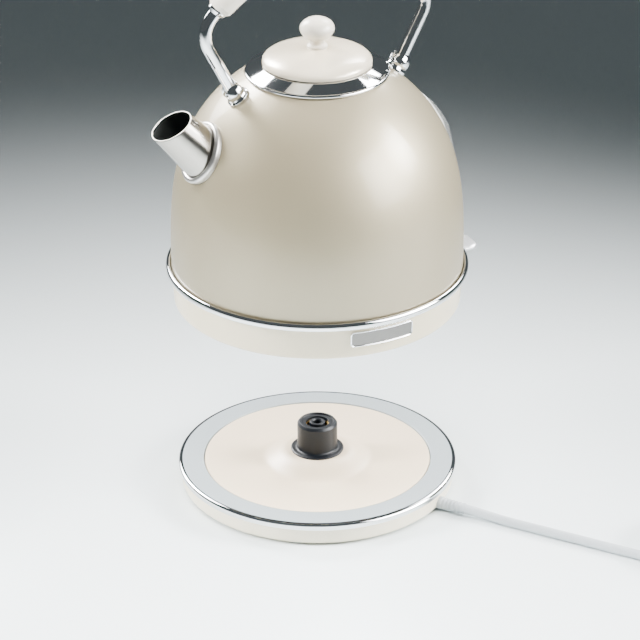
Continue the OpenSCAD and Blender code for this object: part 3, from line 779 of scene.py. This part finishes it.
# Window: a clear bulged cover in a slim half-round frame
FRAME_W = 1.9
frame_mesh = bmesh.new()
frame_rings = []
for k in range(13):
    a = 180 * k / 12
    edge = window_outline(-FRAME_W / 2 + 0.2 + FRAME_W / 2 * cosd(a))
    frame_rings.append([on_dome(y, z, 0.1 + 0.9 * sind(a)) for y, z in edge])
deep = [on_dome(y, z, -STEEL) for y, z in window_outline(-FRAME_W + 0.2)]
deep_out = [on_dome(y, z, -STEEL) for y, z in window_outline(-0.3)]
add_rings(frame_mesh, frame_rings + [deep, deep_out], closed_path=True)
place("window_frame", frame_mesh, ON_KETTLE, "kettle", "rubber", [FRAME_GREY],
      ["window_gasket"])

COVER_BULGE = 4.9
COVER_STEPS = (1.0, 0.985, 0.96, 0.92, 0.86, 0.78, 0.66, 0.5, 0.32, 0.14)


def cover_ring(share, inset):
    """A ring of the clear cover, share of the way out to its edge."""
    out = 0.3 + (COVER_BULGE - 0.3) * (1 - share ** 5) ** 0.6 - inset
    return [on_dome(y * share, WINDOW_Z + (z - WINDOW_Z) * share, out)
            for y, z in window_outline(-1.6)]


cover_mesh = bmesh.new()
add_rings(cover_mesh, [cover_ring(s, 0.0) for s in reversed(COVER_STEPS)]
          + [cover_ring(s, STEEL) for s in COVER_STEPS], cap=True)
place("window_cover", cover_mesh, ON_KETTLE, "kettle", "window_clear", [CLEAR],
      ["water_window"])

# Spout ------------------------------------------------------------------------------
spout_along = Vector((-cosd(SPOUT_SLOPE), 0, sind(SPOUT_SLOPE)))
spout_down = Vector((-sind(SPOUT_SLOPE), 0, -cosd(SPOUT_SLOPE)))
mouth_out = Vector((-cosd(MOUTH_SLOPE), 0, sind(MOUTH_SLOPE)))
root_out = Vector((-cosd(ROOT_SLOPE), 0, sind(ROOT_SLOPE)))


def spout_radius(reach):
    return ROOT_R + (MOUTH_R - ROOT_R) * reach / SPOUT_LEN


def spout_reach(turn, inset, plane_out, plane_at):
    """How far along the spout the generator at turn degrees meets a plane."""
    reach = plane_at
    for _ in range(6):
        off = (spout_radius(reach) - inset) * cosd(turn) * spout_down.dot(plane_out)
        reach = plane_at - off / spout_along.dot(plane_out)
    return reach


def spout_point(turn, reach, r):
    sideways = Vector((0, r * sind(turn), 0))
    return ROOT + spout_along * reach + spout_down * (r * cosd(turn)) + sideways


SPOUT_SIDES = 96
SPOUT_STEPS = 20
INSIDE_STEPS = 12
LIP_STEPS = 8
LIP_R = 0.5


def spout_ring(share, inset, lip=0.0, lift=0.0, depth=-1.0):
    """A ring of the spout, share of the way from depth outside the dome to the mouth. It is
    inset from the outer face, then grown by lip and moved along by lift."""
    ring = []
    for k in range(SPOUT_SIDES):
        turn = 360 * k / SPOUT_SIDES
        low = spout_reach(turn, inset, root_out, depth)
        high = spout_reach(turn, inset, mouth_out, SPOUT_LEN)
        reach = low + (high - low) * share + lift
        ring.append(spout_point(turn, reach, spout_radius(reach) - inset + lip))
    return ring


spout_mesh = bmesh.new()
spout_rings = []
for i in range(SPOUT_STEPS + 1):
    share = i / SPOUT_STEPS * 0.985
    flare = 1.3 * max(0.0, 1 - share / 0.1) ** 2
    spout_rings.append(spout_ring(share, 0.0, lip=flare))
for k in range(LIP_STEPS + 1):
    a = -60 + 240 * k / LIP_STEPS
    spout_rings.append(spout_ring(1.0, SPOUT_WALL / 2, lip=LIP_R * cosd(a),
                                  lift=-LIP_R + LIP_R * sind(a)))
outer_count = len(spout_rings)
for i in range(INSIDE_STEPS + 1):
    spout_rings.append(spout_ring(0.97 * (1 - i / INSIDE_STEPS), SPOUT_WALL, depth=-3.5))
spout_faces = add_rings(spout_mesh, spout_rings)
# The inner wall takes the dark spout material: painted shade for the dim inside of the tube.
for face in spout_faces[outer_count * SPOUT_SIDES:]:
    face.material_index = 1
place("spout_tube", spout_mesh, ON_KETTLE, "kettle", "brushed_spout", [BRUSHED, SPOUT_INSIDE_PAINTED_SHADE],
      ["spout"], shading=60)

flange = (arc((FLANGE_R - 2.0, 0.5), 2.0, -10, 150, 16)
          + [(15.7, 0.9), (15.7, -3.6), (FLANGE_R - 0.1, -3.6)])
lathe("spout_collar", flange, AT_ROOT, "kettle", "brushed_spout", [FLANGE_METAL],
      ["spout_flange"], turns=128)

# Handle -----------------------------------------------------------------------------
# Brackets: a stepped foot under two cheeks of a split ball, with a pin through them
CHEEK_GAP = 3.6
for side, name in ((-1, "front"), (1, "rear")):
    mesh = bmesh.new()
    add_lathe(mesh, rounded([(0, -3), (7.5, -3), (7.5, 1.2, 0.5), (6.6, 2.2, 0.5),
                             (6.2, 3.4, 0.5), (5.0, 4.6, 0.8), (0, 4.8)], closed=False),
              closed=False, turns=64)
    drop_slivers(mesh)
    for cheek in (-1, 1):
        start = math.degrees(math.asin(CHEEK_GAP / BALL_R))
        cap = [(0.0, CHEEK_GAP), (BALL_R * cosd(start) - 0.5, CHEEK_GAP)] + [
            (BALL_R * cosd(a), BALL_R * sind(a)) for a in
            [start + 2 + (88 - start) * i / 12 for i in range(13)]]
        add_lathe(mesh, cap, closed=False, turns=64, at=Matrix.Translation((0, 0, BALL_OUT))
                  @ Matrix.Rotation(math.radians(-90 * cheek), 4, "X"))
        add_lathe(mesh, rounded([(0.0, 6.0), (2.0, 6.0), (2.0, 7.25, 0.5), (0.0, 7.5)],
                                closed=False), closed=False, turns=32,
                  at=Matrix.Translation((0, 0, BALL_OUT))
                  @ Matrix.Rotation(math.radians(-90 * cheek), 4, "X"))
    drop_slivers(mesh)
    place(f"{name}_ball_bracket", mesh, at_bracket(side), "kettle", "chrome", [CHROME],
          [f"{name}_bracket"])

# Rods: straight up from the ball, a short bend, then on into the grip
ball = Vector((BRACKET[0] + BALL_OUT * sind(BRACKET_TURN),
               BRACKET[1] + BALL_OUT * cosd(BRACKET_TURN)))
lean = Vector((sind(ROD_LEAN), cosd(ROD_LEAN)))
inward = Vector((-cosd(ROD_LEAN), sind(ROD_LEAN)))
bend_from = ball - Vector((0, ARCH_Z)) + BEND_R * inward
rod_len = -bend_from.dot(lean) + math.sqrt(
    bend_from.dot(lean) ** 2 - bend_from.dot(bend_from) + (ARCH_R - BEND_R) ** 2)
bend_at = bend_from + rod_len * lean + Vector((0, ARCH_Z))
GRIP_HALF = math.degrees(math.atan2(bend_at.x, bend_at.y - ARCH_Z))
rod_line = ([tuple(ball - lean * 2), tuple(ball), tuple(ball + lean * 2)]
            + [tuple(ball + lean * rod_len * i / 8) for i in range(1, 8)]
            + arc(bend_at, BEND_R, -ROD_LEAN, 90 - GRIP_HALF, 14)
            + arc((0, ARCH_Z), ARCH_R, 90.5 - GRIP_HALF, 99 - GRIP_HALF, 8))
FERRULE_FROM = len(rod_line) - 7


def rod_section(i):
    """The rod's section: tapered at its foot, and wider where it enters the grip."""
    grow = {0: -1.4, 1: -0.25}.get(i, 0.0)
    if FERRULE_FROM <= i <= FERRULE_FROM + 2:
        grow = 1.9
    return oval(ROD_R + grow, ROD_R + grow)


for side, name in ((-1, "front"), (1, "rear")):
    mesh = bmesh.new()
    add_sweep(mesh, [Vector((side * x, 0, z)) for x, z in rod_line], rod_section)
    place(f"{name}_handle_rod", mesh, ON_KETTLE, "kettle", "chrome", [CHROME],
          [f"{name}_rod"])

GRIP_STEPS = 48
grip_reach = GRIP_HALF - 3


def grip_section(i):
    t = abs(2 * i / GRIP_STEPS - 1)
    end = ease((1 - t) / 0.05)
    swell = 0.86 + 0.14 * math.cos(t * math.pi / 2)
    return oval((GRIP_END[0] + (GRIP_R - GRIP_END[0]) * end) * swell,
                (GRIP_END[1] + (GRIP_DEPTH - GRIP_END[1]) * end) * swell, 2.3, 48)


mesh = bmesh.new()
add_sweep(mesh, [Vector((ARCH_R * sind(a), 0, ARCH_Z + ARCH_R * cosd(a))) for a in
                 [grip_reach * (2 * i / GRIP_STEPS - 1) for i in range(GRIP_STEPS + 1)]],
          grip_section)
place("grip_moulding", mesh, ON_KETTLE, "kettle", "grip_cream", [GRIP], ["handle_grip"])

# Lid --------------------------------------------------------------------------------
cover = ([(LID_R - 2, LID_Z), (LID_R - 0.4, LID_Z), (LID_R, LID_Z + 0.4)]
         + [(LID_R * cosd(a), LID_Z + LID_BRIM + LID_CROWN * sind(a)) for a in range(0, 87, 3)]
         + [(2.1, LID_Z + LID_BRIM + LID_CROWN), (2.1, LID_Z + LID_CROWN - 0.8)]
         + [((LID_R - 2) * cosd(a), LID_Z + (LID_CROWN - 0.8) * sind(a))
            for a in range(84, 0, -6)])
lathe("lid_dome", cover, ON_KETTLE, "lid", "lid_paint", [LID_PAINT], ["lid_cover"])

KNOB_Z = LID_Z + LID_BRIM + LID_CROWN
knob = (rounded([(2.1, KNOB_Z - 0.6), (6.5, KNOB_Z - 0.6), (6.5, KNOB_Z + 1.3, 0.5),
                 (4.6, KNOB_Z + 2.2, 0.9), (4.3, KNOB_Z + 5.4, 1.4),
                 (8.6, KNOB_Z + 6.9, 0.8)], closed=False)[:-1]
        + [(8.6, KNOB_Z + 6.9)]
        + [(10.9 * cosd(a), KNOB_Z + 12.2 + 7.2 * sind(a)) for a in range(-36, 88, 4)]
        + [(0.0, KNOB_Z + 19.4)])
lathe("lid_handle_knob", [(0.0, KNOB_Z - 0.6)] + knob, ON_KETTLE, "lid", "grip_cream", [GRIP],
      ["lid_knob"], closed=False, turns=96)

# Switch lever: a barrel on the pin, then a paddle with a rounded, thinned tip ----------
PADDLE_STEPS = 24
ARM_X = LEVER_X + 2.4  # inside the barrel's wall, clear of the pin
paddle_path = []
for i in range(PADDLE_STEPS + 1):
    t = 1 - (1 - i / PADDLE_STEPS) ** 1.7
    paddle_path.append(Vector((ARM_X + (LEVER_OUT - ARM_X) * t, 0, LEVER_Z)))


def paddle_section(i):
    t = (paddle_path[i].x - LEVER_X) / (LEVER_OUT - LEVER_X)
    tip = math.sqrt(max(0.0, 1 - max(0.0, (t - 0.68) / 0.32) ** 2.4))
    return oval(LEVER_W / 2 * (0.4 + 0.6 * tip), max(0.25, 1.7 * (0.35 + 0.65 * tip)), 4.0, 64)


mesh = bmesh.new()
add_sweep(mesh, paddle_path, paddle_section)
add_lathe(mesh, rounded([(LEVER_BORE_R, -BARREL_HALF), (BARREL_R, -BARREL_HALF, 0.5),
                         (BARREL_R, BARREL_HALF, 0.5), (LEVER_BORE_R, BARREL_HALF)]),
          turns=48, at=Matrix.Translation((LEVER_X, 0, LEVER_Z))
          @ Matrix.Rotation(math.radians(90), 4, "X"))
place("switch_paddle", mesh, ON_KETTLE, "lever", "chrome", [LEVER_METAL], ["switch_lever"])

# CAD nodes that stay ------------------------------------------------------------------
dress(["base_bottom"], CREAM)
dress(["base_feet", "plate_seal", "lid_seal"], RUBBER)
dress(["base_screws", "bottom_screws", "bracket_nuts", "knob_screw"], SCREW)
dress(["post_contacts", "socket_contacts"], BRASS)
dress(["cord_clamp", "kettle_socket", "inner_frame", "bottom_cover", "control_unit",
       "steam_tube", "lever_housing"], BLACK)
dress(["heating_plate", "heating_element", "lid_plug", "spout_filter"], PLATE)
dress(["lever_pin"], PIN)

# Floor, light and surroundings --------------------------------------------------------
FLOOR_R = 6.0
floor_mesh = bmesh.new()
bmesh.ops.create_circle(floor_mesh, cap_ends=True, segments=96, radius=FLOOR_R)
floor_data = bpy.data.meshes.new("floor")
floor_mesh.to_mesh(floor_data)
floor_mesh.free()
floor = bpy.data.objects.new("floor", floor_data)
bpy.context.scene.collection.objects.link(floor)
floor_data.materials.append(finish("floor_paper", rgb(230, 238, 239), rgb(225, 233, 235),
                                   (0.8, 0.92), grain=300, relief=0.05, patches=3,
                                   Specular_IOR_Level=0.1))


def softbox(name, azimuth, elevation, distance, size, power, spread, ahead=0.0, height=0.12,
            mirrored=True, spills=True):
    """A rectangular light with a grid, at azimuth degrees round from the camera, to its
    right above nought, and elevation degrees up. It is aimed at a point height above the
    floor and ahead of the object, towards the camera, by the lengths given in metres.
    Unless it is mirrored, it lights the scene without showing in the polished metal, and
    unless it spills, it shows only as a reflection."""
    light = bpy.data.lights.new(name, "AREA")
    light.shape = "RECTANGLE"
    light.size, light.size_y = size
    light.energy = power
    light.spread = math.radians(spread)
    lamp = bpy.data.objects.new(name, light)
    turn = VIEW_AZIMUTH + azimuth
    away = Vector((sind(turn) * cosd(elevation), -cosd(turn) * cosd(elevation), sind(elevation)))
    aim = Vector((sind(VIEW_AZIMUTH) * ahead, -cosd(VIEW_AZIMUTH) * ahead, height))
    lamp.location = aim + away * distance
    lamp.rotation_euler = away.to_track_quat("Z", "Y").to_euler()
    lamp.visible_glossy = mirrored
    lamp.visible_diffuse = spills
    bpy.context.scene.collection.objects.link(lamp)


softbox("softbox_left", -88, 30, 1.5, (0.7, 1.2), 11.0, 34, ahead=0.30, mirrored=False)
softbox("softbox_right", 92, 28, 1.5, (0.9, 1.2), 14.0, 36, ahead=0.30)
softbox("softbox_sheen", 66, 26, 1.4, (1.1, 0.9), 12.0, 60, spills=False)
softbox("softbox_edge", -138, 32, 1.4, (0.5, 0.9), 9.0, 60, spills=False)
softbox("softbox_high", 0, 86, 1.6, (0.9, 0.5), 6.0, 44, ahead=0.32, height=0.0,
        mirrored=False)
softbox("softbox_back_left", -138, 36, 1.5, (0.6, 0.7), 2.6, 26, ahead=0.05)
softbox("softbox_back_right", 150, 38, 1.5, (0.6, 0.7), 2.0, 26, ahead=0.05)

world = bpy.data.worlds.new("studio")
world.use_nodes = True
bpy.context.scene.world = world
world.node_tree.nodes["Background"].inputs["Color"].default_value = rgb(180, 190, 194)
world.node_tree.nodes["Background"].inputs["Strength"].default_value = 0.2

bpy.context.view_layer.update()
